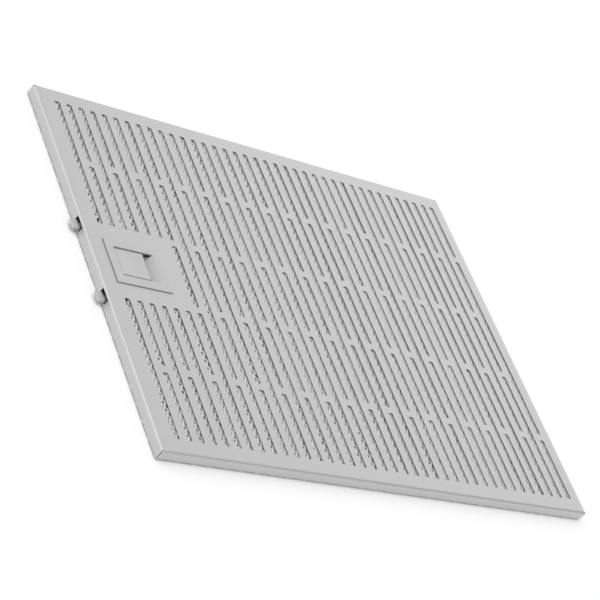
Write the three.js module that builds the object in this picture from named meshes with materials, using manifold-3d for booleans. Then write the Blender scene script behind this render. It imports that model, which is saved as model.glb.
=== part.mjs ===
// Grease filter cassette of a range hood: a perforated aluminium tray that holds a pack of
// expanded aluminium mesh, closed behind by four rails, with a sprung plastic latch.
// Millimetres. The cassette lies on its back with its perforated face up (+Z).
// X runs from the latch edge to the far edge, Y across it.
import * as THREE from 'three';
import { mergeVertices } from 'three/addons/utils/BufferGeometryUtils.js';
import Module from 'manifold-3d';

const wasm = await Module();
wasm.setup();

// ---- driving dimensions -------------------------------------------------------------------
// tray
const LENGTH = 398;
const WIDTH = 302;
const RIM_HEIGHT = 7.7;
const SHEET = 0.5;
const BEND_RADIUS = 1.5;
const SEAM_GAP = 0.4;
// crimp points along the rim's rear edge
const CRIMP_RISE = 0.8;
const CRIMP_WIDTH = 4;
const CRIMP_PITCH = 13;
const CRIMP_ROOT = 0.3;
// slots of the face
const SLOT_WIDTH = 4.3;
const SLOT_CORNER = 1;
const COLUMN_PITCH = 10;
const FIRST_COLUMN = 15.7;
const LAST_MARGIN = 10.1;
const END_MARGIN = 11.5;
const BRIDGE = 5.4;
const ROWS = 5;
// rails and rear grille, set a little inside the rim's rear edge
const REAR_SETBACK = 0.1;
const RAIL_LIP = 7;
const RAIL_UPSTAND = 3.6;
const GRILLE_THICKNESS = 0.7;
// mesh pack
const LAYERS = 8;
const LAYER_GAP = 0.15;
const MESH_CLEARANCE = 0.8;
// latch bezel and its opening, placed from the latch edge
const BEZEL_START = 12.6;
const OPENING_LENGTH = 32;
const OPENING_WIDTH = 24.2;
const FRAME_FRONT = 6.3;
const FRAME_END = 7.3;
const FRAME_SIDE = 6.55;
const BEZEL_RISE = 0.8;
const BEZEL_CHAMFER = 0.6;
const BEZEL_CHAMFER_HEIGHT = 0.3;
const EDGE_GAP = 0.35;
const EDGE_GAP_DEPTH = 0.8;
const BEZEL_LAP = 2.5;
const BEZEL_WALL = 1.2;
const WALL_DEPTH = 2.4;
const CORNER_NOTCH = 0.9;
const RAMP_THICKNESS = 1.5;
const RAMP_TIP = 0.3;
const RAMP_STEP = 0.1;
const LEG_GAP = 0.5;
// hooks that hold the bezel in the base
const HOOK_LENGTH = 3;
const HOOK_THICKNESS = 0.9;
const HOOK_FROM_START = 6;
const HOOK_FROM_END = 4;
const HOOK_STANDOFF = 1.3;
const HOOK_FLEX = 0.7;
const BARB_HEIGHT = 0.8;
const BARB_REACH = 0.6;
const BARB_LIFT = 1.2;
// finger plate
const WELL_LENGTH = 8.3;
const PLATE_THICKNESS = 1.2;
const PLATE_RECESS = 0.3;
const PLATE_END_GAP = 0.5;
const PLATE_SIDE_GAP = 1.2;
const PLATE_EDGE = 0.4;
const APRON_THICKNESS = 0.8;
const APRON_SIDE_GAP = 0.6;
const RIB = 2;
const SIDE_RIB_LENGTH = 8;
// locking yoke
const TONGUE_REACH = 5;
const TONGUE_WIDTH = 8;
const TONGUE_THICKNESS = 1.9;
const TONGUE_SPACING = 59.8;
const WINDOW_SIDE_GAP = 1.2;
const WINDOW_TOP_DEPTH = 1.5;
const WINDOW_UNDER_GAP = 0.4;
const TONGUE_EDGE = 0.3;
const HEAD_INSET = 0.3;
const NECK_WIDTH = 4;
const NECK_THICKNESS = 1.3;
const BAR_SETBACK = 2.3;
const BAR_STEP = 1.2;
const BAR_WIDTH = 4.8;
const BAR_THICKNESS = 1.2;
const STIFFENER_HEIGHT = 1.6;
const ARM_WIDTH = 18;
// latch base
const BASE_FLOOR = 0.6;
const BASE_WALL = 1;
const BASE_SETBACK = 1.2;
const BASE_BEYOND = 8.5;
const PLAIN_BEYOND = 8;
// return spring
const WIRE = 0.8;
const EYE_RADIUS = 2.4;
const PEG_RADIUS = 1.7;
const PEG_FROM_OPENING = 10.1;
const PEG_Y = -2.2;
const POST_RADIUS = 1.1;
const TURN_GAP = 0.1;
// fits
const SLIDE_GAP = 0.3;
const STACK_GAP = 0.2;
// how far joined shapes reach into each other, and a cut past the face that it opens
const BITE = 0.1;
const PAST = 1;

// ---- heights and places that follow -------------------------------------------------------
const RIM_REAR = CRIMP_RISE;
const FACE_TOP = RIM_REAR + RIM_HEIGHT;
const FACE_UNDER = FACE_TOP - SHEET;
const RAIL_REAR = RIM_REAR + REAR_SETBACK;
const GRILLE_REAR = RAIL_REAR + SHEET + REAR_SETBACK;
const GRILLE_FRONT = GRILLE_REAR + GRILLE_THICKNESS;
const PACK_REAR = GRILLE_FRONT + STACK_GAP;
const PACK_FRONT = FACE_UNDER - STACK_GAP;
const LAYER_STEP = (PACK_FRONT - PACK_REAR + LAYER_GAP) / LAYERS;
const LAYER_THICKNESS = LAYER_STEP - LAYER_GAP;
const INSIDE = SHEET + SLIDE_GAP;
const RAIL_INSIDE = INSIDE + SHEET + SLIDE_GAP;
const TRAVEL = TONGUE_REACH + SHEET;

const FLOOR_REAR = PACK_REAR;
const FLOOR_FRONT = FLOOR_REAR + BASE_FLOOR;
const BAR_REAR = FLOOR_FRONT + SLIDE_GAP;
const BAR_FRONT = BAR_REAR + BAR_THICKNESS;
const TONGUE_FRONT = BAR_FRONT;
const TONGUE_REAR = TONGUE_FRONT - TONGUE_THICKNESS;
const BEZEL_TOP = FACE_TOP + BEZEL_RISE;
const PLATE_TOP = BEZEL_TOP - PLATE_RECESS;
const PLATE_UNDER = PLATE_TOP - PLATE_THICKNESS;
const APRON_UNDER = PLATE_UNDER - APRON_THICKNESS;
const WIRE_Z = APRON_UNDER - SLIDE_GAP - WIRE / 2;

const BEZEL_LENGTH = FRAME_FRONT + OPENING_LENGTH + FRAME_END;
const BEZEL_WIDTH = OPENING_WIDTH + 2 * FRAME_SIDE;
const OPENING_START = BEZEL_START + FRAME_FRONT;
const OPENING_END = OPENING_START + OPENING_LENGTH;
const PLATE_START = OPENING_START + PLATE_END_GAP;
const PLATE_END = OPENING_END - WELL_LENGTH;
const PLATE_WIDTH = OPENING_WIDTH - 2 * PLATE_SIDE_GAP;
const BAR_START = RAIL_INSIDE + BAR_SETBACK;
const BAR_END = BAR_START + BAR_WIDTH;
const BASE_START = BAR_END + TRAVEL + BASE_SETBACK;
const BASE_END = OPENING_END + BASE_BEYOND;
const HOOK_INNER = OPENING_WIDTH / 2 + BEZEL_WALL + HOOK_STANDOFF;
const HOOK_OUTER = HOOK_INNER + HOOK_THICKNESS;
const BASE_INNER = HOOK_OUTER + HOOK_FLEX;
const BASE_WIDTH = 2 * (BASE_INNER + BASE_WALL);
const BARB_Z = FLOOR_FRONT + BARB_LIFT;
const RAMP_START = PLATE_END - RIB + TRAVEL + SLIDE_GAP;
const CUTOUT_START = BEZEL_START + BEZEL_LAP;
const CUTOUT_END = BEZEL_START + BEZEL_LENGTH - BEZEL_LAP;
const CUTOUT_WIDTH = BEZEL_WIDTH - 2 * BEZEL_LAP;
const WINDOW_WIDTH = TONGUE_WIDTH + 2 * WINDOW_SIDE_GAP;
const BAR_LENGTH = TONGUE_SPACING + TONGUE_WIDTH;
const ARM_END = PLATE_END - 1;
const PEG_X = OPENING_START + PEG_FROM_OPENING;

// ---- materials ----------------------------------------------------------------------------
const material = (color, metalness, roughness) =>
  new THREE.MeshStandardMaterial({ color, metalness, roughness });
const ALUMINIUM_SHEET = material(0xc6c8c8, 0.7, 0.5);
const ALUMINIUM_MESH = material(0xd4d6d6, 0.8, 0.4);
const GREY_PLASTIC = material(0xc4c5c5, 0, 0.55);
const SPRING_STEEL = material(0xd0d0cc, 1, 0.3);

// ---- solids -------------------------------------------------------------------------------
function toSolid(geometry) {
  const bare = geometry.index ? geometry.toNonIndexed() : geometry.clone();
  bare.deleteAttribute('normal');
  bare.deleteAttribute('uv');
  const merged = mergeVertices(bare, 1e-4);
  return new wasm.Manifold(new wasm.Mesh({
    numProp: 3,
    vertProperties: new Float32Array(merged.attributes.position.array),
    triVerts: new Uint32Array(merged.index.array),
  }));
}

function toGeometry(solid) {
  const mesh = solid.getMesh();
  const geometry = new THREE.BufferGeometry();
  geometry.setAttribute('position', new THREE.BufferAttribute(mesh.vertProperties, 3));
  geometry.setIndex(new THREE.BufferAttribute(mesh.triVerts, 1));
  geometry.computeVertexNormals();
  return geometry;
}

function box(x0, x1, y0, y1, z0, z1) {
  const geometry = new THREE.BoxGeometry(x1 - x0, y1 - y0, z1 - z0);
  geometry.translate((x0 + x1) / 2, (y0 + y1) / 2, (z0 + z1) / 2);
  return toSolid(geometry);
}

// a box across the centre line, |y| up to half the given width
const midBox = (x0, x1, width, z0, z1) => box(x0, x1, -width / 2, width / 2, z0, z1);

function rectangle(x0, x1, y0, y1) {
  const shape = new THREE.Shape();
  shape.moveTo(x0, y0);
  shape.lineTo(x1, y0);
  shape.lineTo(x1, y1);
  shape.lineTo(x0, y1);
  shape.closePath();
  return shape;
}

function prism(shapes, z0, z1) {
  const options = { depth: z1 - z0, bevelEnabled: false, curveSegments: 2 };
  const geometry = new THREE.ExtrudeGeometry(shapes, options);
  geometry.translate(0, 0, z0);
  return toSolid(geometry);
}

// a block whose upper edges are rounded or chamfered, size measured at its foot
function softBlock(x0, x1, y0, y1, z0, z1, round, segments) {
  const inset = rectangle(x0 + round.size, x1 - round.size, y0 + round.size, y1 - round.size);
  const geometry = new THREE.ExtrudeGeometry(inset, {
    depth: z1 - z0,
    bevelEnabled: true,
    bevelThickness: round.height,
    bevelSize: round.size,
    bevelSegments: segments,
  });
  geometry.translate(0, 0, z0 - round.height);
  const foot = z0 - 2 * round.height - PAST;
  const below = box(x0 - PAST, x1 + PAST, y0 - PAST, y1 + PAST, foot, z0);
  return toSolid(geometry).subtract(below);
}

function post(x, y, radius, z0, z1) {
  const geometry = new THREE.CylinderGeometry(radius, radius, z1 - z0, 20);
  geometry.rotateX(Math.PI / 2);
  geometry.translate(x, y, (z0 + z1) / 2);
  return toSolid(geometry);
}

const join = (...solids) => solids.reduce((sum, solid) => sum.add(solid));

function named(name, solid, look) {
  const mesh = new THREE.Mesh(toGeometry(solid), look);
  mesh.name = name;
  return mesh;
}

// ---- front tray ---------------------------------------------------------------------------
function slotShape(x, y0, y1) {
  const half = SLOT_WIDTH / 2;
  const c = SLOT_CORNER;
  const shape = new THREE.Shape();
  shape.moveTo(x - half + c, y0);
  shape.lineTo(x + half - c, y0);
  shape.quadraticCurveTo(x + half, y0, x + half, y0 + c);
  shape.lineTo(x + half, y1 - c);
  shape.quadraticCurveTo(x + half, y1, x + half - c, y1);
  shape.lineTo(x - half + c, y1);
  shape.quadraticCurveTo(x - half, y1, x - half, y1 - c);
  shape.lineTo(x - half, y0 + c);
  shape.quadraticCurveTo(x - half, y0, x - half + c, y0);
  return shape;
}

// The field is five rows high. A slot runs over the rows of one group without a bridge:
// odd and even columns group them differently, and the latch takes the middle row.
function rowGroups(column, besideLatch) {
  const odd = column % 2 === 0;
  if (besideLatch) return odd ? [[0, 1], [3, 4]] : [[0, 0], [1, 1], [3, 3], [4, 4]];
  return odd ? [[0, 1], [2, 2], [3, 4]] : [[0, 0], [1, 3], [4, 4]];
}

function slotField() {
  const field = WIDTH - 2 * END_MARGIN;
  const rowStep = (field + BRIDGE) / ROWS;
  const run = LENGTH - LAST_MARGIN - FIRST_COLUMN - SLOT_WIDTH / 2;
  const columns = Math.floor(run / COLUMN_PITCH) + 1;
  const shapes = [];
  for (let column = 0; column < columns; column += 1) {
    const fromEdge = FIRST_COLUMN + column * COLUMN_PITCH;
    const besideLatch = fromEdge - SLOT_WIDTH / 2 < BASE_END + PLAIN_BEYOND;
    for (const [first, last] of rowGroups(column, besideLatch)) {
      const top = WIDTH / 2 - END_MARGIN - first * rowStep;
      const bottom = WIDTH / 2 - END_MARGIN - (last + 1) * rowStep + BRIDGE;
      shapes.push(slotShape(fromEdge - LENGTH / 2, bottom, top));
    }
  }
  return prism(shapes, FACE_UNDER - PAST, FACE_TOP + PAST);
}

function tongueWindows() {
  const z0 = TONGUE_REAR - WINDOW_UNDER_GAP;
  const z1 = FACE_TOP - WINDOW_TOP_DEPTH;
  const x0 = -LENGTH / 2 - PAST;
  const x1 = -LENGTH / 2 + RAIL_INSIDE + BITE;
  const [upper, lower] = [1, -1].map((side) => {
    const y = side * TONGUE_SPACING / 2;
    return box(x0, x1, y - WINDOW_WIDTH / 2, y + WINDOW_WIDTH / 2, z0, z1);
  });
  return upper.add(lower);
}

// the open joint down each corner, where the two folded rims meet
function cornerSeams() {
  const reach = BEND_RADIUS + PAST;
  const seams = [];
  for (const sx of [-1, 1]) {
    for (const sy of [-1, 1]) {
      const geometry = new THREE.BoxGeometry(2 * reach, SEAM_GAP, RIM_HEIGHT);
      geometry.rotateZ(sx * sy * Math.PI / 4);
      geometry.translate(sx * LENGTH / 2, sy * WIDTH / 2, FACE_UNDER - RIM_HEIGHT / 2 - STACK_GAP);
      seams.push(toSolid(geometry));
    }
  }
  return join(...seams);
}

// one small pressed point on a rim that runs along X, its tip at z = 0
function crimpPoint() {
  const shape = new THREE.Shape();
  shape.moveTo(-CRIMP_WIDTH / 2, 0);
  shape.lineTo(0, -CRIMP_RISE);
  shape.lineTo(CRIMP_WIDTH / 2, 0);
  shape.lineTo(0, CRIMP_ROOT);
  shape.closePath();
  const geometry = new THREE.ExtrudeGeometry(shape, { depth: SHEET, bevelEnabled: false });
  geometry.rotateX(Math.PI / 2);
  geometry.translate(0, SHEET, RIM_REAR);
  return geometry;
}

function crimpPoints() {
  const points = [];
  const sides = [
    { run: LENGTH, out: WIDTH / 2, turn: 0 },
    { run: WIDTH, out: LENGTH / 2, turn: Math.PI / 2 },
    { run: LENGTH, out: WIDTH / 2, turn: Math.PI },
    { run: WIDTH, out: LENGTH / 2, turn: -Math.PI / 2 },
  ];
  for (const { run, out, turn } of sides) {
    const count = Math.floor((run - 2 * CRIMP_PITCH) / CRIMP_PITCH) + 1;
    for (let i = 0; i < count; i += 1) {
      const geometry = crimpPoint();
      geometry.translate((i - (count - 1) / 2) * CRIMP_PITCH, -out, 0);
      geometry.rotateZ(turn);
      points.push(toSolid(geometry));
    }
  }
  return join(...points);
}

function frontTray() {
  const bend = { size: BEND_RADIUS, height: BEND_RADIUS };
  const inner = { size: BEND_RADIUS - SHEET, height: BEND_RADIUS - SHEET };
  const [x, y] = [LENGTH / 2, WIDTH / 2];
  const outside = softBlock(-x, x, -y, y, RIM_REAR, FACE_TOP, bend, 4);
  const inside = softBlock(-x + SHEET, x - SHEET, -y + SHEET, y - SHEET, 0, FACE_UNDER, inner, 3);
  const [cutStart, cutEnd] = [CUTOUT_START - x, CUTOUT_END - x];
  const cutout = midBox(cutStart, cutEnd, CUTOUT_WIDTH, FACE_UNDER - PAST, FACE_TOP + PAST);
  return outside.subtract(inside).add(crimpPoints())
    .subtract(slotField())
    .subtract(cutout)
    .subtract(tongueWindows())
    .subtract(cornerSeams());
}

// ---- rails behind the pack ----------------------------------------------------------------
// an L strip along X at the -Y side of an opening of the given run, mitred at both ends
function railStrip(run, out) {
  const half = run / 2 - INSIDE;
  const edge = -out + INSIDE;
  const lip = box(-half, half, edge, edge + RAIL_LIP, RAIL_REAR, RAIL_REAR + SHEET);
  const upstand = box(-half, half, edge, edge + SHEET, RAIL_REAR, RAIL_REAR + RAIL_UPSTAND);
  const block = 4 * RAIL_LIP;
  const mitre = (side) => {
    const geometry = new THREE.BoxGeometry(block, block, block);
    geometry.translate(side * (block / 2 - SLIDE_GAP), 0, 0);
    geometry.rotateZ(side * Math.PI / 4);
    geometry.translate(side * half, edge, 0);
    return toSolid(geometry);
  };
  return lip.add(upstand).subtract(mitre(1)).subtract(mitre(-1));
}

function rails() {
  const short = railStrip(WIDTH, LENGTH / 2);
  const long = railStrip(LENGTH, WIDTH / 2);
  const latchSide = short.rotate([0, 0, -90]).subtract(tongueWindows());
  return [
    named('rear_rail_latch_side', latchSide, ALUMINIUM_SHEET),
    named('rear_rail_far_side', short.rotate([0, 0, 90]), ALUMINIUM_SHEET),
    named('rear_rail_upper', long.rotate([0, 0, 180]), ALUMINIUM_SHEET),
    named('rear_rail_lower', long, ALUMINIUM_SHEET),
  ];
}

// ---- rear grille and mesh pack ------------------------------------------------------------
function sheetInside(z0, z1) {
  const [x, y] = [LENGTH / 2 - RAIL_INSIDE, WIDTH / 2 - RAIL_INSIDE];
  return box(-x, x, -y, y, z0, z1);
}

function meshPack() {
  const left = -LENGTH / 2;
  const baseEnd = left + BASE_END + MESH_CLEARANCE;
  const barEnd = left + BAR_END + TRAVEL + MESH_CLEARANCE;
  const cut = join(
    midBox(left, baseEnd, BASE_WIDTH + 2 * MESH_CLEARANCE, 0, FACE_TOP),
    midBox(left, barEnd, BAR_LENGTH + 4 * MESH_CLEARANCE, 0, FACE_TOP),
  );
  const layers = [];
  for (let i = 0; i < LAYERS; i += 1) {
    const z0 = PACK_REAR + i * LAYER_STEP;
    const solid = sheetInside(z0, z0 + LAYER_THICKNESS).subtract(cut);
    layers.push(named(`mesh_layer_${i + 1}`, solid, ALUMINIUM_MESH));
  }
  return layers;
}

// ---- latch, placed from the latch edge ----------------------------------------------------
const HOOK_PLACES = [OPENING_START + HOOK_FROM_START, OPENING_END - HOOK_FROM_END]
  .flatMap((x) => [{ x, side: 1 }, { x, side: -1 }]);

// a box from y0 to y1 on the given side of the centre line
function sideBox(x0, x1, y0, y1, side, z0, z1) {
  return side > 0 ? box(x0, x1, y0, y1, z0, z1) : box(x0, x1, -y1, -y0, z0, z1);
}

function latchBezel() {
  const inner = OPENING_WIDTH / 2;
  const wall = inner + BEZEL_WALL;
  const root = FACE_TOP + 2 * BITE;
  const wallFoot = FACE_TOP - WALL_DEPTH;
  const legFoot = FLOOR_FRONT + SLIDE_GAP;
  const wallEnd = OPENING_END + BEZEL_WALL;
  const chamfer = { size: BEZEL_CHAMFER, height: BEZEL_CHAMFER_HEIGHT };
  const plate = softBlock(BEZEL_START, BEZEL_START + BEZEL_LENGTH, -BEZEL_WIDTH / 2, BEZEL_WIDTH / 2,
    FACE_TOP, BEZEL_TOP, chamfer, 1);
  const [webStart, webEnd] = [CUTOUT_START + SLIDE_GAP, CUTOUT_END - SLIDE_GAP];
  const web = midBox(webStart, webEnd, CUTOUT_WIDTH - 2 * SLIDE_GAP, FACE_UNDER + BITE, root);
  const opening = midBox(OPENING_START, OPENING_END, OPENING_WIDTH, APRON_UNDER, BEZEL_TOP + PAST);
  const apronWay = midBox(CUTOUT_START - PAST, OPENING_START + PAST, OPENING_WIDTH, 0, FACE_TOP);
  const walls = join(
    box(OPENING_START, wallEnd, -wall, -inner, wallFoot, root),
    box(OPENING_START, ARM_END, inner, wall, wallFoot, root),
    box(OPENING_END, wallEnd, -wall, inner - CORNER_NOTCH, legFoot, root),
  );
  const frame = join(plate.subtract(edgeGap()), web).subtract(opening).subtract(apronWay);
  return join(frame, walls, fingerRamp(), hooks(legFoot, root));
}

// the bezel's outer edge stands clear of the face all round
function edgeGap() {
  const [start, end] = [BEZEL_START, BEZEL_START + BEZEL_LENGTH];
  const top = FACE_TOP + EDGE_GAP;
  const outside = midBox(start - PAST, end + PAST, BEZEL_WIDTH + 2 * PAST, FACE_TOP - PAST, top);
  const seatWidth = BEZEL_WIDTH - 2 * EDGE_GAP_DEPTH;
  const seat = midBox(start + EDGE_GAP_DEPTH, end - EDGE_GAP_DEPTH, seatWidth, 0, BEZEL_TOP);
  return outside.subtract(seat);
}

// the sloping end of the finger well, beyond the plate's travel; its corner is open for the
// spring's straight leg
function fingerRamp() {
  const foot = BAR_FRONT + SLIDE_GAP;
  const [end, top] = [OPENING_END + BITE, BEZEL_TOP - RAMP_STEP];
  const shape = new THREE.Shape();
  shape.moveTo(RAMP_START, foot);
  shape.lineTo(RAMP_START + RAMP_THICKNESS, foot);
  shape.lineTo(end, top - RAMP_THICKNESS);
  shape.lineTo(end, top);
  shape.lineTo(RAMP_START, foot + RAMP_TIP);
  const width = OPENING_WIDTH + 2 * BITE;
  const geometry = new THREE.ExtrudeGeometry(shape, { depth: width, bevelEnabled: false });
  geometry.rotateX(Math.PI / 2);
  geometry.translate(0, width / 2, 0);
  const { start, angle } = springLeg();
  const corner = box(0, BEZEL_LENGTH, -WIRE / 2 - LEG_GAP, BEZEL_WIDTH, 0, BEZEL_TOP + PAST)
    .rotate([0, 0, THREE.MathUtils.radToDeg(angle)])
    .translate([start.x, start.y, 0]);
  return toSolid(geometry).subtract(corner);
}

function hooks(foot, root) {
  const reach = BASE_INNER + BARB_REACH;
  return join(...HOOK_PLACES.map(({ x, side }) => {
    const end = x + HOOK_LENGTH;
    const leg = sideBox(x, end, HOOK_INNER, HOOK_OUTER, side, foot, root);
    const barb = sideBox(x, end, HOOK_OUTER - BITE, reach, side, BARB_Z, BARB_Z + BARB_HEIGHT);
    return leg.add(barb);
  }));
}

// the slots in the base's side walls that the barbs snap into
function barbSlots() {
  const [low, high] = [BARB_Z - SLIDE_GAP, BARB_Z + BARB_HEIGHT + SLIDE_GAP];
  return join(...HOOK_PLACES.map(({ x, side }) => {
    const [start, end] = [x - SLIDE_GAP, x + HOOK_LENGTH + SLIDE_GAP];
    return sideBox(start, end, BASE_INNER - PAST, BASE_INNER + BASE_WALL + PAST, side, low, high);
  }));
}

function latchBase() {
  const outer = midBox(BASE_START, BASE_END, BASE_WIDTH, FLOOR_REAR, FACE_UNDER - STACK_GAP);
  const hollow = midBox(BASE_START - PAST, BASE_END - BASE_WALL, 2 * BASE_INNER, FLOOR_FRONT, FACE_TOP);
  const [foot, top] = [FLOOR_FRONT - BITE, APRON_UNDER - SLIDE_GAP];
  const anchor = anchorPlace();
  return outer.subtract(hollow).subtract(barbSlots())
    .add(post(PEG_X, PEG_Y, PEG_RADIUS, foot, top))
    .add(post(anchor.x, anchor.y, POST_RADIUS, foot, top));
}

function fingerPlate() {
  const apronStart = OPENING_START - TRAVEL - PLATE_EDGE;
  const apronEnd = PLATE_END - APRON_SIDE_GAP;
  const apronWidth = OPENING_WIDTH - 2 * APRON_SIDE_GAP;
  const ribTop = APRON_UNDER + BITE;
  const ribSide = -ARM_WIDTH / 2 + 1;
  const sideRibEnd = PLATE_END - RIB;
  const pad = softBlock(PLATE_START, PLATE_END, -PLATE_WIDTH / 2, PLATE_WIDTH / 2,
    PLATE_UNDER, PLATE_TOP, { size: PLATE_EDGE, height: PLATE_EDGE }, 2);
  return join(
    pad,
    midBox(apronStart, apronEnd, apronWidth, APRON_UNDER, PLATE_UNDER + BITE),
    midBox(PLATE_START - RIB, PLATE_START, 2 * -ribSide, BAR_FRONT, ribTop),
    box(sideRibEnd - SIDE_RIB_LENGTH, sideRibEnd, ribSide, ribSide + RIB, BAR_FRONT, ribTop),
  );
}

// the way that the yoke's arm leaves for the base's peg over the whole travel
function pegWay() {
  const side = PEG_RADIUS + SLIDE_GAP;
  const [start, end] = [PEG_X - side - TRAVEL, PEG_X + side];
  return box(start, end, PEG_Y - side, PEG_Y + side, BAR_REAR - PAST, BAR_FRONT + PAST);
}

function lockingYoke() {
  const stiffenerTop = BAR_FRONT + STIFFENER_HEIGHT;
  const betweenWindows = TONGUE_SPACING - WINDOW_WIDTH;
  const edge = { size: TONGUE_EDGE, height: TONGUE_EDGE };
  const tongues = [1, -1].map((sign) => {
    const y = sign * TONGUE_SPACING / 2;
    const [half, neck] = [TONGUE_WIDTH / 2, NECK_WIDTH / 2];
    const neckFront = TONGUE_REAR + NECK_THICKNESS;
    return join(
      softBlock(-TONGUE_REACH, HEAD_INSET, y - half, y + half, TONGUE_REAR, TONGUE_FRONT, edge, 1),
      box(HEAD_INSET - BITE, BAR_END, y - neck, y + neck, TONGUE_REAR, neckFront),
    );
  });
  return join(
    midBox(BAR_START + BAR_STEP, BAR_END, BAR_LENGTH, BAR_REAR, BAR_FRONT),
    midBox(BAR_START, BAR_END, betweenWindows, BAR_REAR, BAR_FRONT),
    midBox(BAR_START, BAR_START + 1, betweenWindows - 2, BAR_REAR, stiffenerTop),
    midBox(BAR_END - 1, ARM_END, ARM_WIDTH, BAR_REAR, BAR_FRONT),
    ...tongues,
  ).subtract(pegWay());
}

// ---- return spring: an eye round the peg, one leg to the base's post, one to the plate ----
// the straight leg: its far end, its direction, and where it leaves the eye
function springLeg() {
  const end = { x: BASE_END - BASE_WALL - 3 * WIRE, y: BASE_INNER - WIRE };
  const [dx, dy] = [end.x - PEG_X, end.y - PEG_Y];
  const angle = Math.atan2(dy, dx) - Math.asin(EYE_RADIUS / Math.hypot(dx, dy));
  const along = { x: Math.cos(angle), y: Math.sin(angle) };
  const start = { x: PEG_X - EYE_RADIUS * along.y, y: PEG_Y + EYE_RADIUS * along.x };
  return { end, start, along, angle };
}

// the post stands beside the leg's end, on the side away from the bezel's corner
function anchorPlace() {
  const { end, along } = springLeg();
  const offset = WIRE / 2 + POST_RADIUS + SLIDE_GAP;
  const back = POST_RADIUS + SLIDE_GAP;
  return {
    x: end.x - back * along.x + offset * along.y,
    y: end.y - back * along.y - offset * along.x,
  };
}

// as many whole turns as lie between the plate's apron and the yoke's arm, and part of one more
function eyePoints(angle) {
  const partTurn = 0.3;
  const pitch = WIRE + TURN_GAP;
  const room = WIRE_Z - WIRE / 2 - BAR_FRONT - STACK_GAP;
  const turns = Math.floor(room / pitch - partTurn) + partTurn;
  const steps = 20;
  const points = [];
  for (let i = 0; i <= steps; i += 1) {
    const turned = angle + Math.PI / 2 + (i / steps) * turns * 2 * Math.PI;
    const x = PEG_X + EYE_RADIUS * Math.cos(turned);
    const y = PEG_Y + EYE_RADIUS * Math.sin(turned);
    points.push(new THREE.Vector3(x, y, WIRE_Z - pitch * turns * (i / steps)));
  }
  return points;
}

// the second leg rests on the back of the plate's front rib
function returnSpring() {
  const { end, start, along, angle } = springLeg();
  const straight = 7;
  const points = [
    new THREE.Vector3(end.x, end.y, WIRE_Z),
    new THREE.Vector3(start.x + straight * along.x, start.y + straight * along.y, WIRE_Z),
    ...eyePoints(angle),
  ];
  const last = points[points.length - 1];
  const restX = PLATE_START + SLIDE_GAP + WIRE / 2;
  const restY = -ARM_WIDTH / 2 + RIB + WIRE;
  const rest = new THREE.Vector3(restX, restY, last.z);
  points.push(last.clone().lerp(rest, 0.6));
  points.push(rest);
  const path = new THREE.CatmullRomCurve3(points, false, 'centripetal');
  const round = new THREE.Shape();
  round.absarc(0, 0, WIRE / 2, 0, 2 * Math.PI, false);
  const options = { steps: 70, extrudePath: path, curveSegments: 4 };
  return toSolid(new THREE.ExtrudeGeometry(round, options));
}

// ---- assembly -----------------------------------------------------------------------------
const latch = new THREE.Group();
latch.position.x = -LENGTH / 2;
latch.add(
  named('latch_bezel', latchBezel(), GREY_PLASTIC),
  named('latch_base', latchBase(), GREY_PLASTIC),
  named('finger_plate', fingerPlate(), GREY_PLASTIC),
  named('locking_yoke', lockingYoke(), GREY_PLASTIC),
  named('return_spring', returnSpring(), SPRING_STEEL),
);

// the origin is under the middle of the whole cassette, tongues included
const cassette = new THREE.Group();
cassette.position.x = TONGUE_REACH / 2;
cassette.add(
  named('front_tray', frontTray(), ALUMINIUM_SHEET),
  ...rails(),
  named('rear_grille', sheetInside(GRILLE_REAR, GRILLE_FRONT), ALUMINIUM_MESH),
  ...meshPack(),
  latch,
);

const part = new THREE.Group();
part.add(cassette);
export default part;
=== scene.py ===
"""Grease filter cassette of a range hood: a slotted aluminium tray over a pack of expanded
aluminium mesh, with a sprung plastic latch. The cassette lies on its back, face up.
Sizes in this script are in millimetres until a mesh is made; X runs from the latch edge to
the far edge, and latch places are measured from the latch edge."""
import math

import bmesh
import bpy
import numpy as np
from mathutils import Matrix, Vector


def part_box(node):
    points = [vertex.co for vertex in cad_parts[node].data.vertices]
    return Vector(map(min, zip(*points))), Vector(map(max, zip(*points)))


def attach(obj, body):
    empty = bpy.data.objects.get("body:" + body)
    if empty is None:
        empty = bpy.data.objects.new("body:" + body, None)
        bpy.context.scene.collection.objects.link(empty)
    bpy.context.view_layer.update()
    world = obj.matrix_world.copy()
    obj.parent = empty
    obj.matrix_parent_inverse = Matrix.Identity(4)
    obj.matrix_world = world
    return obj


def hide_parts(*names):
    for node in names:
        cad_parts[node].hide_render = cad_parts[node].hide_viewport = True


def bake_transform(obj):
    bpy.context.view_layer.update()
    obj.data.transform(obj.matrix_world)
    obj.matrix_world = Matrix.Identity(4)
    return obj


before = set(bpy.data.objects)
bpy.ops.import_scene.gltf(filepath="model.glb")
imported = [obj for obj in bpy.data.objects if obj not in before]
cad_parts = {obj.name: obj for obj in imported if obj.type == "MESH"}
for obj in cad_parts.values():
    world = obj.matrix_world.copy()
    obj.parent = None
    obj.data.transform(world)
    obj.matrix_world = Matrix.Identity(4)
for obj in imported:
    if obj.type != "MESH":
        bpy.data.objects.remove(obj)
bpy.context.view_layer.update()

# ---- rear grille --------------------------------------------------------------------------
# The coarse sheet that closes the back: slit and stretched aluminium, its strands left tilted
# as the stretching turns them. It is cut to the tray and held by the four rails.
MM = 0.001
GRILLE_LONG_WAY = 13.0
GRILLE_SHORT_WAY = 9.0
GRILLE_STRAND = 1.3
GRILLE_FOIL = 0.4


def to_linear(colour):
    """An sRGB hex colour as linear red, green, blue and alpha."""
    parts = [int(colour[i:i + 2], 16) / 255 for i in (1, 3, 5)]
    return [c / 12.92 if c <= 0.04045 else ((c + 0.055) / 1.055) ** 2.4 for c in parts] + [1.0]


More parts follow.
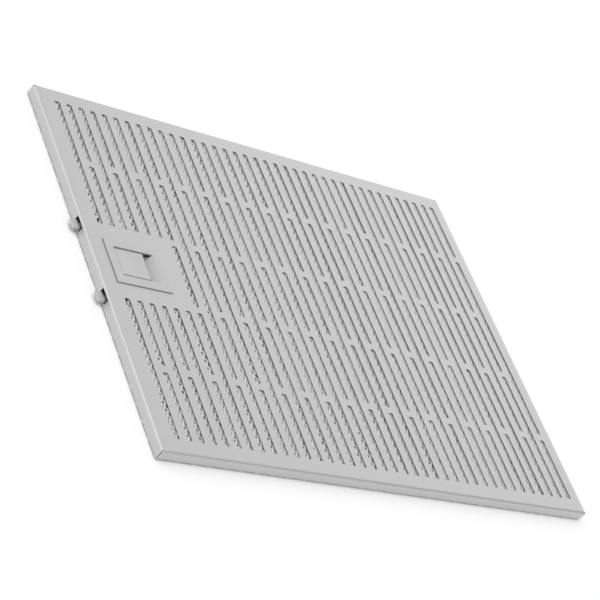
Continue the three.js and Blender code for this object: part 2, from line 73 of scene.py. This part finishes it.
def add_node(tree, kind, links=None, **settings):
    """Adds a node. links maps its inputs to other nodes' outputs, settings are properties or
    input values."""
    node = tree.nodes.new(kind)
    for name, value in settings.items():
        socket = name.replace("_", " ")
        if hasattr(node, name):
            setattr(node, name, value)
        else:
            node.inputs[socket].default_value = value
    for name, output in (links or {}).items():
        tree.links.new(output, node.inputs[name])
    return node


def new_material(name):
    """An empty node material and its shader, joined to the output."""
    material = bpy.data.materials.new(name)
    material.use_nodes = True
    tree = material.node_tree
    tree.nodes.clear()
    shader = add_node(tree, "ShaderNodeBsdfPrincipled")
    output = add_node(tree, "ShaderNodeOutputMaterial")
    tree.links.new(shader.outputs["BSDF"], output.inputs["Surface"])
    return material, tree, shader


def millimetre_grain(tree, stretch, detail):
    """Noise over the piece's own coordinates, one cell measuring stretch millimetres."""
    place = add_node(tree, "ShaderNodeTexCoord")
    scale = [1 / (MM * size) for size in stretch]
    mapping = add_node(tree, "ShaderNodeMapping", {"Vector": place.outputs["Object"]}, Scale=scale)
    links = {"Vector": mapping.outputs["Vector"]}
    return add_node(tree, "ShaderNodeTexNoise", links, Scale=1.0, Detail=detail, Roughness=0.55)


def add_piece(name, points, faces, material, smooth=False):
    """A mesh object from points in millimetres."""
    mesh = bpy.data.meshes.new(name)
    mesh.from_pydata((np.asarray(points) * MM).tolist(), [], faces)
    mesh.polygons.foreach_set("use_smooth", [smooth] * len(mesh.polygons))
    mesh.materials.append(material)
    mesh.update()
    piece = bpy.data.objects.new(name, mesh)
    bpy.context.scene.collection.objects.link(piece)
    return piece


# Expanded aluminium foil: slit, stretched and left bright. Each strand catches the light at
# its own angle, and patches of it differ a little in tone and polish.
expanded_foil, tree, shader = new_material("expanded_aluminium_foil")
FOIL_LIGHT = "#E8E8E8"
FOIL_DULL = "#CCCCCC"
STRAND_PATCH = (2.5, 5.0, 1.5)
STRAY_ACROSS = 0.07
STRAY_UP = 0.06
patches = millimetre_grain(tree, STRAND_PATCH, 3.0)
tone = add_node(tree, "ShaderNodeMix", {"Factor": patches.outputs["Fac"]}, data_type="RGBA")
tone.inputs["A"].default_value = to_linear(FOIL_DULL)
tone.inputs["B"].default_value = to_linear(FOIL_LIGHT)
tree.links.new(tone.outputs["Result"], shader.inputs["Base Color"])
shader.inputs["Metallic"].default_value = 1.0
polish = add_node(tree, "ShaderNodeMapRange", {"Value": patches.outputs["Fac"]},
                  To_Min=0.48, To_Max=0.62)
tree.links.new(polish.outputs["Result"], shader.inputs["Roughness"])


def strand_sections(strand, foil, tilt):
    """The four corners of a strand's section, across the run and up, turned by the tilt."""
    across = np.array([math.cos(tilt), math.sin(tilt)])
    normal = np.array([-math.sin(tilt), math.cos(tilt)])
    half = np.array([[-1, -1], [1, -1], [1, 1], [-1, 1]]) / 2
    return half[:, :1] * strand * across + half[:, 1:] * foil * normal


def strand_run(low, high, long_way, bond, phase):
    """Places along a strand where it turns, and how far it leans at each: +1 at the bond with
    the next strand, -1 at the bond with the last."""
    first = math.floor((low - phase) / long_way) * long_way + phase
    bonds = np.arange(first, high + long_way, long_way / 2)
    if bond:
        places = (bonds[:, None] + np.array([-bond / 2, bond / 2])).ravel()
        lean = np.repeat(np.where(np.arange(len(bonds)) % 2 == 0, 1.0, -1.0), 2)
    else:
        places = bonds
        lean = np.where(np.arange(len(bonds)) % 2 == 0, 1.0, -1.0)
    inside = (places > low) & (places < high)
    places_in = np.concatenate([[low], places[inside], [high]])
    lean_in = np.interp(places_in, places, lean)
    return places_in, lean_in


def drawn(x, y, seed):
    """How far stretched foil strays from its pattern, in millimetres, at each point. The strays
    are slow waves, some 150 to 400 mm long."""
    along = 1.3 * np.sin(x / 41 + seed) + 0.9 * np.sin(y / 29 + 2 * seed + x / 67)
    over = 0.8 * np.sin(y / 37 + 3 * seed) + 0.5 * np.sin(x / 23 - seed)
    return over, along


def expanded_sheet(name, node, pattern, middle, lift, keep_out, seed, straying):
    """Expanded metal between the node's edges. A strand runs along Y and leans to its two
    neighbours in turn; it stands lift above the middle at one bond and lift below at the other.
    keep_out lists notches at the latch edge: how far in, and half how wide. straying scales
    how far the sheet strays from its pattern."""
    low, high = (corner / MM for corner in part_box(node))
    margin = pattern["strand"]
    generator = np.random.default_rng(seed)
    step = pattern["short_way"] / 2
    points, faces = [], []
    count = 0
    for k in range(int((high.x - low.x - 2 * margin) / step)):
        x = low.x + margin + (k + 0.5) * step
        runs = [(low.y + margin, high.y - margin)]
        for reach, half in keep_out:
            if x - step < reach:
                runs = [(low.y + margin, -half), (half, high.y - margin)]
                break
        for start, end in runs:
            tilt = pattern["tilt"] + generator.uniform(-1, 1) * pattern["unevenness"]
            section = strand_sections(pattern["strand"], pattern["foil"], tilt)
            places, lean = strand_run(start, end, pattern["long_way"], pattern["bond"],
                                      (k % 2) * pattern["long_way"] / 2)
            over, along = drawn(np.full(len(places), x), places, seed)
            over = over + generator.normal(0, STRAY_ACROSS, len(places))
            rise = lift * lean + generator.normal(0, STRAY_UP, len(places))
            xs = np.clip(x + over * straying + lean * step / 2, low.x + margin, high.x - margin)
            ys = np.clip(places + along * straying, start, end)
            ring = np.empty((len(places), 4, 3))
            ring[:, :, 0] = xs[:, None] + section[:, 0]
            ring[:, :, 1] = ys[:, None]
            ring[:, :, 2] = middle + rise[:, None] + section[:, 1]
            points.append(ring.reshape(-1, 3))
            base = count + 4 * np.arange(len(places) - 1)[:, None]
            for side in range(4):
                after = (side + 1) % 4
                faces.append(base + np.array([side, after, after + 4, side + 4]))
            last = count + 4 * (len(places) - 1)
            faces.append(np.array([[count + 3, count + 2, count + 1, count]]))
            faces.append(np.array([[last, last + 1, last + 2, last + 3]]))
            count += 4 * len(places)
    sheet = add_piece(name, np.concatenate(points), np.concatenate(faces).tolist(), expanded_foil)
    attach(sheet, "cassette")
    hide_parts(node)
    return sheet


grille_pattern = {
    "long_way": GRILLE_LONG_WAY, "short_way": GRILLE_SHORT_WAY, "strand": GRILLE_STRAND,
    "foil": GRILLE_FOIL, "tilt": math.radians(12), "unevenness": math.radians(2), "bond": 2.0,
}
grille_low, grille_high = (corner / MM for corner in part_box("rear_grille"))
GRILLE_LIFT = 0.05
GRILLE_SEED = 5
GRILLE_STRAYING = 0.3
expanded_sheet("rear_grille_sheet", "rear_grille", grille_pattern,
               (grille_low.z + grille_high.z) / 2, GRILLE_LIFT, [], GRILLE_SEED, GRILLE_STRAYING)

# ---- mesh pack ----------------------------------------------------------------------------
# Eight sheets of fine expanded foil fill the tray and hold back the grease. They are cut out
# round the latch and held by the rails. The front three are drawn finer than those behind.
tray_low, tray_high = (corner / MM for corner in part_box("front_tray"))
base_low, base_high = (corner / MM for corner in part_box("latch_base"))
yoke_low, yoke_high = (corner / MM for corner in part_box("locking_yoke"))
MESH_LAYERS = 8
CLEARANCE = 0.8
BAR_REACH = 14.2
latch_notches = [
    (tray_low.x + BAR_REACH + CLEARANCE, yoke_high.y + 2 * CLEARANCE),
    (base_high.x + CLEARANCE, base_high.y + CLEARANCE),
]
fine_foil = {
    "long_way": 6.0, "short_way": 3.4, "strand": 1.6, "foil": 0.15,
    "tilt": math.radians(4), "unevenness": math.radians(6), "bond": 0,
}
second_foil = {
    "long_way": 7.0, "short_way": 4.4, "strand": 2.3, "foil": 0.2,
    "tilt": math.radians(-5), "unevenness": math.radians(5), "bond": 0,
}
hidden_foil = {
    "long_way": 9.0, "short_way": 6.6, "strand": 1.7, "foil": 0.25,
    "tilt": math.radians(14), "unevenness": math.radians(4), "bond": 0,
}
# strand lift at the bonds, and how far the front sheet's middle lies below the face
FRONT_LIFT = 0.16
SECOND_LIFT = 0.12
HIDDEN_LIFT = 0.05
SECOND_RAISED = 0.15
FRONT_BELOW_FACE = 1.07
for layer in range(1, MESH_LAYERS + 1):
    node = f"mesh_layer_{layer}"
    layer_low, layer_high = (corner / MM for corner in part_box(node))
    height = (layer_low.z + layer_high.z) / 2
    if layer == MESH_LAYERS:
        pattern, height, lift = fine_foil, tray_high.z - FRONT_BELOW_FACE, FRONT_LIFT
    elif layer >= MESH_LAYERS - 2:
        pattern, height, lift = second_foil, height + SECOND_RAISED, SECOND_LIFT
    else:
        pattern, lift = hidden_foil, HIDDEN_LIFT
    expanded_sheet(f"mesh_sheet_{layer}", node, pattern, height, lift, latch_notches, layer, 1.0)

# ---- rails --------------------------------------------------------------------------------
# Four L strips of the same sheet as the tray, mitred at the corners and pinched under the
# rim's crimp points. They hold the pack and the grille in.

# Rolled aluminium sheet with a satin finish: an even light grey with faint lines along the
# rolling direction, and soft patches where it has been handled.
satin_sheet, tree, shader = new_material("satin_rolled_aluminium")
SHEET_GREY = "#CBCBCB"
SHEET_GREY_DULL = "#C5C5C5"
# the real rolling lines are a few hundredths of a millimetre apart; drawn coarser to show
ROLLING_LINE = (45.0, 0.5, 0.5)
HANDLED_PATCH = (38.0, 26.0, 26.0)
FINE_MATT = (0.7, 0.7, 0.7)
lines = millimetre_grain(tree, ROLLING_LINE, 2.0)
handled = millimetre_grain(tree, HANDLED_PATCH, 3.0)
matt = millimetre_grain(tree, FINE_MATT, 2.0)
tone = add_node(tree, "ShaderNodeMix", {"Factor": handled.outputs["Fac"]}, data_type="RGBA")
tone.inputs["A"].default_value = to_linear(SHEET_GREY_DULL)
tone.inputs["B"].default_value = to_linear(SHEET_GREY)
tree.links.new(tone.outputs["Result"], shader.inputs["Base Color"])
shader.inputs["Metallic"].default_value = 1.0
dulling = add_node(tree, "ShaderNodeMapRange", {"Value": handled.outputs["Fac"]},
                   To_Min=0.4, To_Max=0.48)
tree.links.new(dulling.outputs["Result"], shader.inputs["Roughness"])
grain = add_node(tree, "ShaderNodeMath", {0: lines.outputs["Fac"], 1: matt.outputs["Fac"]},
                 operation="ADD")
relief = add_node(tree, "ShaderNodeBump", {"Height": grain.outputs["Value"]},
                  Strength=0.12, Distance=0.05 * MM)
tree.links.new(relief.outputs["Normal"], shader.inputs["Normal"])

for rail in ("latch_side", "far_side", "upper", "lower"):
    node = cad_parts[f"rear_rail_{rail}"]
    node.data.materials.clear()
    node.data.materials.append(satin_sheet)

# ---- latch base ---------------------------------------------------------------------------
# A box moulded in ABS, behind the face. It guides the yoke's arm, carries the spring's peg and
# post, and its side walls catch the bezel's hooks.

# ABS moulded in light grey: the mould was spark-eroded, so the surface is a fine even matt.
moulded_abs, tree, shader = new_material("moulded_grey_abs")
ABS_GREY = "#B7B7B7"
ABS_GREY_SHADE = "#B3B3B3"
# the real texture is about a tenth of a millimetre; drawn coarser to show
ERODED_GRAIN = (0.35, 0.35, 0.35)
FLOW_PATCH = (9.0, 9.0, 9.0)
eroded = millimetre_grain(tree, ERODED_GRAIN, 2.0)
flow = millimetre_grain(tree, FLOW_PATCH, 2.0)
tone = add_node(tree, "ShaderNodeMix", {"Factor": flow.outputs["Fac"]}, data_type="RGBA")
tone.inputs["A"].default_value = to_linear(ABS_GREY_SHADE)
tone.inputs["B"].default_value = to_linear(ABS_GREY)
tree.links.new(tone.outputs["Result"], shader.inputs["Base Color"])
shader.inputs["IOR"].default_value = 1.53
gloss = add_node(tree, "ShaderNodeMapRange", {"Value": flow.outputs["Fac"]},
                 To_Min=0.46, To_Max=0.54)
tree.links.new(gloss.outputs["Result"], shader.inputs["Roughness"])
relief = add_node(tree, "ShaderNodeBump", {"Height": eroded.outputs["Fac"]},
                  Strength=0.15, Distance=0.04 * MM)
tree.links.new(relief.outputs["Normal"], shader.inputs["Normal"])


MERGE = 0.002


def moulded_copy(name, node, body, radius, shape=None):
    """A copy of a CAD piece with its edges rounded to radius millimetres. shape changes the
    plain faces first."""
    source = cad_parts[node].data
    bm = bmesh.new()
    bm.from_mesh(source)
    bmesh.ops.remove_doubles(bm, verts=bm.verts, dist=MERGE * MM)
    bmesh.ops.dissolve_limit(bm, angle_limit=math.radians(1), verts=bm.verts, edges=bm.edges)
    if shape:
        shape(bm)
    mesh = bpy.data.meshes.new(name)
    bm.to_mesh(mesh)
    bm.free()
    mesh.polygons.foreach_set("use_smooth", [True] * len(mesh.polygons))
    mesh.materials.append(moulded_abs)
    piece = bpy.data.objects.new(name, mesh)
    bpy.context.scene.collection.objects.link(piece)
    rounding = piece.modifiers.new("rounding", "BEVEL")
    rounding.width = radius * MM
    rounding.segments = 3
    rounding.limit_method = "ANGLE"
    rounding.angle_limit = math.radians(25)
    rounding.harden_normals = True
    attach(piece, body)
    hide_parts(node)
    return piece


BASE_EDGE = 0.15
moulded_copy("latch_base_moulding", "latch_base", "cassette", BASE_EDGE)

# ---- return spring ------------------------------------------------------------------------
# Drawn spring wire bent round the base's peg. Its straight leg leans on the base's post and
# crosses the corner of the finger well; its short leg bears on the back of the plate's rib.
WIRE = 0.8
EYE_RADIUS = 2.4
PEG_FROM_EDGE = 29.0
PEG_Y = -2.2
EYE_TURNS = 1.3
WIRE_SIDES = 12
spring_low, spring_high = (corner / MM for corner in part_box("return_spring"))

# Drawn spring steel: bright and hard, left a little dull by the die, with fine lines along
# the wire.
spring_wire, tree, shader = new_material("drawn_spring_steel")
STEEL_GREY = "#EDEDEB"
STEEL_GREY_DULL = "#DEDEDC"
# the real die lines are a few hundredths of a millimetre apart; drawn coarser to show
DRAWING_LINE = (6.0, 0.25, 0.25)
drawing = millimetre_grain(tree, DRAWING_LINE, 2.0)
tone = add_node(tree, "ShaderNodeMix", {"Factor": drawing.outputs["Fac"]}, data_type="RGBA")
tone.inputs["A"].default_value = to_linear(STEEL_GREY_DULL)
tone.inputs["B"].default_value = to_linear(STEEL_GREY)
tree.links.new(tone.outputs["Result"], shader.inputs["Base Color"])
shader.inputs["Metallic"].default_value = 1.0
polish = add_node(tree, "ShaderNodeMapRange", {"Value": drawing.outputs["Fac"]},
                  To_Min=0.5, To_Max=0.6)
tree.links.new(polish.outputs["Result"], shader.inputs["Roughness"])


def spring_route():
    """The wire's centreline, from the end of the straight leg to the end of the short leg."""
    peg = np.array([tray_low.x + PEG_FROM_EDGE, PEG_Y])
    leg_end = np.array([spring_high.x - WIRE / 2, spring_high.y - WIRE / 2])
    top = spring_high.z - WIRE / 2
    bottom = spring_low.z + WIRE / 2
    reach = leg_end - peg
    angle = math.atan2(reach[1], reach[0]) - math.asin(EYE_RADIUS / math.hypot(*reach))
    turns = np.linspace(0, EYE_TURNS * 2 * math.pi, 40)
    drop = np.linspace(top, bottom, len(turns))
    around = angle + math.pi / 2 + turns
    eye = np.stack([peg[0] + EYE_RADIUS * np.cos(around),
                    peg[1] + EYE_RADIUS * np.sin(around), drop], 1)
    leg = np.linspace([*leg_end, top], eye[0], 14)[:-1]
    short_end = np.array([spring_low.x + WIRE / 2, spring_low.y + WIRE / 2, bottom])
    short = np.linspace(eye[-1], short_end, 8)[1:]
    return np.concatenate([leg, eye, short])


DOME_SIZE = 0.55
DOME_REACH = 0.8


def swept_wire(name, route, diameter, sides, material):
    """A round wire along a route, closed by domed ends."""
    ahead = np.gradient(route, axis=0)
    ahead /= np.linalg.norm(ahead, axis=1)[:, None]
    side = np.cross(ahead, [0, 0, 1])
    side /= np.linalg.norm(side, axis=1)[:, None]
    above = np.cross(side, ahead)
    rings = [(0, DOME_SIZE, -DOME_REACH)]
    rings.extend((i, 1.0, 0.0) for i in range(len(route)))
    rings.append((len(route) - 1, DOME_SIZE, DOME_REACH))
    turn = np.linspace(0, 2 * math.pi, sides, endpoint=False)
    circle = np.stack([np.cos(turn), np.sin(turn)], 1)
    points = []
    for i, size, forward in rings:
        centre = route[i] + ahead[i] * forward * diameter / 2
        ring = circle[:, :1] * side[i] + circle[:, 1:] * above[i]
        points.append(centre + ring * size * diameter / 2)
    faces = []
    for r in range(len(rings) - 1):
        for s in range(sides):
            after = (s + 1) % sides
            faces.append([r * sides + s, (r + 1) * sides + s,
                          (r + 1) * sides + after, r * sides + after])
    faces.append(list(range(sides)))
    faces.append([(len(rings) - 1) * sides + s for s in reversed(range(sides))])
    return add_piece(name, np.concatenate(points), faces, material, smooth=True)


spring = swept_wire("return_spring_wire", spring_route(), WIRE, WIRE_SIDES, spring_wire)
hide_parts("return_spring")
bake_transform(spring)

# ---- locking yoke -------------------------------------------------------------------------
# One ABS moulding: a bar along the latch edge, a square-headed tongue on a narrow neck at each
# end, and a flat arm under the finger plate. The tongues pass through the rim's windows.
YOKE_EDGE = 0.25
moulded_copy("locking_yoke_moulding", "locking_yoke", "latch_slider", YOKE_EDGE)

# ---- finger plate -------------------------------------------------------------------------
# The ABS plate that a finger pushes towards the well. It is moulded with a thin apron that
# slides under the bezel, ribs that stand on the yoke's arm, and a shallow dish for the fingertip.
DISH_BORDER = 1.7
DISH_SLOPE = 0.7
DISH_DEPTH = 0.22


def press_dish(bm):
    """Sinks the middle of the highest flat face."""
    flat = [f for f in bm.faces if f.normal.z > 0.99]
    top = max(flat, key=lambda f: f.calc_center_median().z)
    bmesh.ops.inset_individual(bm, faces=[top], thickness=DISH_BORDER * MM, depth=0)
    bmesh.ops.inset_individual(bm, faces=[top], thickness=DISH_SLOPE * MM, depth=-DISH_DEPTH * MM)


PLATE_EDGE = 0.15
moulded_copy("finger_plate_moulding", "finger_plate", "latch_slider", PLATE_EDGE, press_dish)

# ---- latch bezel --------------------------------------------------------------------------
# The ABS frame round the finger plate. Its lip laps over the cut-out in the face and stands just
# clear of the sheet, its well ends in a finger ramp, and four hooks snap into the latch base.
BEZEL_EDGE = 0.07
moulded_copy("latch_bezel_moulding", "latch_bezel", "cassette", BEZEL_EDGE)

# ---- front tray ---------------------------------------------------------------------------
# One sheet, slotted in a press and folded down on all four sides. The folded corners meet in
# an open seam, and the rim's rear edge is pinched into small points that hold the rails.
SHEET = 0.5
BEND_RADIUS = 1.5
SEAM_GAP = 0.4
CRIMP_RISE = 0.8
CRIMP_WIDTH = 4.0
CRIMP_PITCH = 13.0
SLOT_WIDTH = 4.3
SLOT_CORNER = 1.0
COLUMN_PITCH = 10.0
FIRST_COLUMN = 15.7
LAST_MARGIN = 10.1
END_MARGIN = 11.5
BRIDGE = 5.4
ROWS = 5
PLAIN_BEYOND = 8.0
PUNCH_ROLL = 0.14
BEZEL_LAP = 2.5
CUTOUT_CORNER = 0.5
WINDOW_GAP = 1.2
WINDOW_FLOOR_GAP = 0.4
TONGUE_WIDTH = 8.0
ARC_STEPS = 8
NEAR_END = 0.5
END_SLACK = 0.01

face_top = tray_high.z
face_under = face_top - SHEET
length = tray_high.x - tray_low.x
width = tray_high.y - tray_low.y


def slot_rows(column, beside_latch):
    """The rows that each slot of a column runs over. The latch takes the middle row."""
    if column % 2 == 0:
        return [(0, 1), (3, 4)] if beside_latch else [(0, 1), (2, 2), (3, 4)]
    return [(0, 0), (1, 1), (3, 3), (4, 4)] if beside_latch else [(0, 0), (1, 3), (4, 4)]


def slots():
    """The middle, half length and half width of every slot."""
    row_step = (width - 2 * END_MARGIN + BRIDGE) / ROWS
    columns = int((length - LAST_MARGIN - FIRST_COLUMN - SLOT_WIDTH / 2) / COLUMN_PITCH) + 1
    for column in range(columns):
        x = tray_low.x + FIRST_COLUMN + column * COLUMN_PITCH
        beside_latch = x - SLOT_WIDTH / 2 < base_high.x + PLAIN_BEYOND
        for first, last in slot_rows(column, beside_latch):
            top = width / 2 - END_MARGIN - first * row_step
            bottom = width / 2 - END_MARGIN - (last + 1) * row_step + BRIDGE
            yield x, (top + bottom) / 2, (top - bottom) / 2, SLOT_WIDTH / 2


def rounded_outline(x, y, half_y, half_x, corner, steps=4):
    """A rectangle with round corners, as points anticlockwise."""
    points = []
    for quarter in range(4):
        sx = (1, -1, -1, 1)[quarter]
        sy = (1, 1, -1, -1)[quarter]
        for i in range(steps + 1):
            turn = math.pi / 2 * (quarter + i / steps)
            points.append((x + sx * (half_x - corner) + corner * math.cos(turn),
                           y + sy * (half_y - corner) + corner * math.sin(turn)))
    return points


def add_hole(bm, outline_at):
    """The wall of a punched hole, rolled over at the top."""
    turn = [math.radians(a) for a in (0, 30, 60, 90)]
    levels = [(PUNCH_ROLL * (1 - math.sin(a)), face_top - PUNCH_ROLL * (1 - math.cos(a)))
              for a in turn]
    levels.append((0.0, face_under))
    rings = []
    for out, z in levels:
        rings.append([bm.verts.new(Vector((px, py, z)) * MM) for px, py in outline_at(out)])
    for upper, lower in zip(rings, rings[1:]):
        for i in range(len(upper)):
            j = (i + 1) % len(upper)
            face = bm.faces.new((upper[j], upper[i], lower[i], lower[j]))
            face.smooth = True


def run_places(half, spots):
    """Places along one folded side: the ends and just inside them, so that the bend shades
    evenly, the crimp points' outlines and the given spots."""
    count = int((2 * half + 2 * BEND_RADIUS - 2 * CRIMP_PITCH) / CRIMP_PITCH) + 1
    middles = (np.arange(count) - (count - 1) / 2) * CRIMP_PITCH
    shape = np.array([-1, -0.6, -0.2, 0.2, 0.6, 1]) * CRIMP_WIDTH / 2
    places = (middles[:, None] + shape).ravel()
    places = places[np.abs(places) < half - 2 * NEAR_END]
    ends = [-half, NEAR_END - half, half - NEAR_END, half]
    return np.unique(np.round(np.concatenate([ends, places, spots]), 4)), middles


def crimp_depth(place, middles):
    """How far the rear edge is pressed down at a place: a flat-topped point."""
    away = np.abs(middles - place).min() / (CRIMP_WIDTH / 2)
    return CRIMP_RISE * (1 - away ** 4) if away < 1 else 0.0


def folded_side(bm, turn, half, out, windows, window_low):
    """One folded rim. Its section starts at the flat face's edge, turns down, ends at the rear
    edge and comes back up inside. Windows run from window_low up to the bend."""
    spots = [y for pair in windows for y in pair]
    places, middles = run_places(half, spots)
    arc = np.linspace(0, math.pi / 2, ARC_STEPS + 1)
    inner_radius = BEND_RADIUS - SHEET
    outer = [(BEND_RADIUS * math.sin(a), face_top - BEND_RADIUS * (1 - math.cos(a)))
             for a in arc]
    inner = [(inner_radius * math.sin(a), face_under - inner_radius * (1 - math.cos(a)))
             for a in arc]
    section = outer + [(BEND_RADIUS, window_low), (BEND_RADIUS, CRIMP_RISE)]
    section += [(inner_radius, CRIMP_RISE), (inner_radius, window_low)] + inner[::-1]
    rear_rows = (len(outer) + 1, len(outer) + 2)
    rotation = Matrix.Rotation(turn, 3, "Z")
    middle = Vector(((tray_low.x + tray_high.x) / 2, 0, 0))
    grid = []
    for place in places:
        column = []
        at_end = abs(place) > half - END_SLACK
        for row, (d, z) in enumerate(section):
            end = half + d - min(d, SEAM_GAP * math.sqrt(0.5))
            along = math.copysign(end, place) if at_end else place
            if row in rear_rows and not at_end:
                z -= crimp_depth(place, middles)
            point = rotation @ Vector((along, -(out - BEND_RADIUS) - d, z)) + middle
            column.append(bm.verts.new(point * MM))
        grid.append(column)
    wall_outer = len(outer) - 1
    wall_inner = len(outer) + 3
    for i in range(len(grid) - 1):
        mid = (places[i] + places[i + 1]) / 2
        open_here = any(low < mid < high for low, high in windows)
        for row in range(len(section) - 1):
            if open_here and row in (wall_outer, wall_inner):
                continue
            face = bm.faces.new((grid[i][row], grid[i][row + 1],
                                 grid[i + 1][row + 1], grid[i + 1][row]))
            face.smooth = row < wall_outer or row > wall_inner
        if open_here:
            top, low = (wall_outer, wall_inner + 1), (wall_outer + 1, wall_inner)
            bm.faces.new((grid[i][top[0]], grid[i + 1][top[0]],
                          grid[i + 1][top[1]], grid[i][top[1]]))
            bm.faces.new((grid[i][low[1]], grid[i + 1][low[1]],
                          grid[i + 1][low[0]], grid[i][low[0]]))
    for low, high in windows:
        for place, order in ((low, 1), (high, -1)):
            column = grid[int(np.argmin(np.abs(places - place)))]
            side = [column[wall_outer], column[wall_inner + 1],
                    column[wall_inner], column[wall_outer + 1]]
            bm.faces.new(side[::order])
    bm.faces.new(grid[0][::-1])
    bm.faces.new(grid[-1])


LEVEL_SLACK = 0.001


def fill_flat(bm, level):
    """Fills the sheet's flat at a height, between the folded sides and round the holes."""
    rims = [e for e in bm.edges if e.is_boundary
            and all(abs(v.co.z / MM - level) < LEVEL_SLACK for v in e.verts)]
    bmesh.ops.triangle_fill(bm, use_beauty=True, edges=rims)


def punched_tray():
    """The whole tray: four folded sides, the slots, the latch's cut-out and the flat between."""
    bm = bmesh.new()
    half_x = length / 2 - BEND_RADIUS
    half_y = width / 2 - BEND_RADIUS
    window_low = yoke_low.z - WINDOW_FLOOR_GAP
    tongue = yoke_high.y - TONGUE_WIDTH / 2
    reach = TONGUE_WIDTH / 2 + WINDOW_GAP
    latch_windows = [(-tongue - reach, -tongue + reach), (tongue - reach, tongue + reach)]
    sides = (
        (0.0, half_x, width / 2, []),
        (math.pi / 2, half_y, length / 2, []),
        (math.pi, half_x, width / 2, []),
        (-math.pi / 2, half_y, length / 2, latch_windows),
    )
    for turn, half, out, windows in sides:
        folded_side(bm, turn, half, out, windows, window_low)
    for x, y, half_run, half_wide in slots():
        add_hole(bm, lambda out: rounded_outline(
            x, y, half_run + out, half_wide + out, SLOT_CORNER + out))
    bezel_low, bezel_high = (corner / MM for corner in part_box("latch_bezel"))
    cut_x = (bezel_low.x + bezel_high.x) / 2
    cut_half_x = (bezel_high.x - bezel_low.x) / 2 - BEZEL_LAP
    cut_half_y = (bezel_high.y - bezel_low.y) / 2 - BEZEL_LAP
    add_hole(bm, lambda out: rounded_outline(
        cut_x, 0, cut_half_y + out, cut_half_x + out, CUTOUT_CORNER + out))
    bmesh.ops.remove_doubles(bm, verts=bm.verts, dist=MERGE * MM)
    for level in (face_top, face_under):
        fill_flat(bm, level)
    bmesh.ops.recalc_face_normals(bm, faces=bm.faces)
    mesh = bpy.data.meshes.new("punched_front_tray")
    bm.to_mesh(mesh)
    bm.free()
    mesh.materials.append(satin_sheet)
    piece = bpy.data.objects.new("punched_front_tray", mesh)
    bpy.context.scene.collection.objects.link(piece)
    return piece


tray = punched_tray()
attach(tray, "cassette")
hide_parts("front_tray")

# ---- floor, lights and camera -------------------------------------------------------------
# A plain white floor under an even pale surround, with three broad soft lamps: on the latch
# side, overhead and low on the far side. Sizes here are in metres.
FLOOR_SIZE = 40.0
FLOOR_DROP = 0.0002
floor_mesh = bpy.data.meshes.new("studio_floor")
edge = FLOOR_SIZE / 2
floor_mesh.from_pydata(
    [(-edge, -edge, 0), (edge, -edge, 0), (edge, edge, 0), (-edge, edge, 0)],
    [], [(0, 1, 2, 3)])
floor = bpy.data.objects.new("studio_floor", floor_mesh)
floor.location.z = -FLOOR_DROP
bpy.context.scene.collection.objects.link(floor)
# Matt white paint: even and almost without gloss, so that the floor mirrors nothing.
painted_floor, tree, shader = new_material("matt_white_paint")
shader.inputs["Base Color"].default_value = to_linear("#F6F6F6")
shader.inputs["Roughness"].default_value = 0.9
shader.inputs["Specular IOR Level"].default_value = 0.1
floor_mesh.materials.append(painted_floor)

world = bpy.data.worlds.new("pale_surround")
world.use_nodes = True
surround = world.node_tree.nodes["Background"]
surround.inputs["Color"].default_value = to_linear("#F6F6F6")
surround.inputs["Strength"].default_value = 0.66
bpy.context.scene.world = world


def soft_lamp(name, towards, spread, strength):
    """A distant broad lamp in the given direction, spread wide so that its shadows are soft."""
    lamp = bpy.data.lights.new(name, "SUN")
    lamp.angle = math.radians(spread)
    lamp.energy = strength
    holder = bpy.data.objects.new(name, lamp)
    holder.rotation_euler = Vector(towards).to_track_quat("Z", "Y").to_euler()
    bpy.context.scene.collection.objects.link(holder)


soft_lamp("latch_side_lamp", (-0.75, 0.45, 0.42), 90, 1.0)
soft_lamp("overhead_lamp", (-0.2, -0.1, 0.97), 60, 1.1)
soft_lamp("far_side_lamp", (0.77, 0.6, 0.18), 46, 0.46)

# the camera looks down on the near latch corner, rolled so that the latch edge runs upright
AZIMUTH = math.radians(-51.19)
ELEVATION = math.radians(30.72)
ROLL = math.radians(45.1)
FROM_FACE = (-0.9564, -0.7523, 0.7151)
LENS = 121.4
SENSOR = 36.0
face_centre = Vector(((tray_low.x + tray_high.x) / 2, 0, face_top)) * MM
camera_data = bpy.data.cameras.new("view_camera")
camera_data.lens = LENS
camera_data.sensor_width = SENSOR
camera = bpy.data.objects.new("view_camera", camera_data)
back = Vector((math.sin(AZIMUTH) * math.cos(ELEVATION),
               -math.cos(AZIMUTH) * math.cos(ELEVATION), math.sin(ELEVATION)))
level = Vector((math.cos(AZIMUTH), math.sin(AZIMUTH), 0))
upright = back.cross(level)
right = math.cos(ROLL) * level + math.sin(ROLL) * upright
up = math.cos(ROLL) * upright - math.sin(ROLL) * level
place = face_centre + Vector(FROM_FACE)
camera.matrix_world = Matrix.Translation(place) @ Matrix((right, up, back)).transposed().to_4x4()
bpy.context.scene.collection.objects.link(camera)
bpy.context.scene.camera = camera
bpy.context.scene.view_settings.view_transform = "Standard"
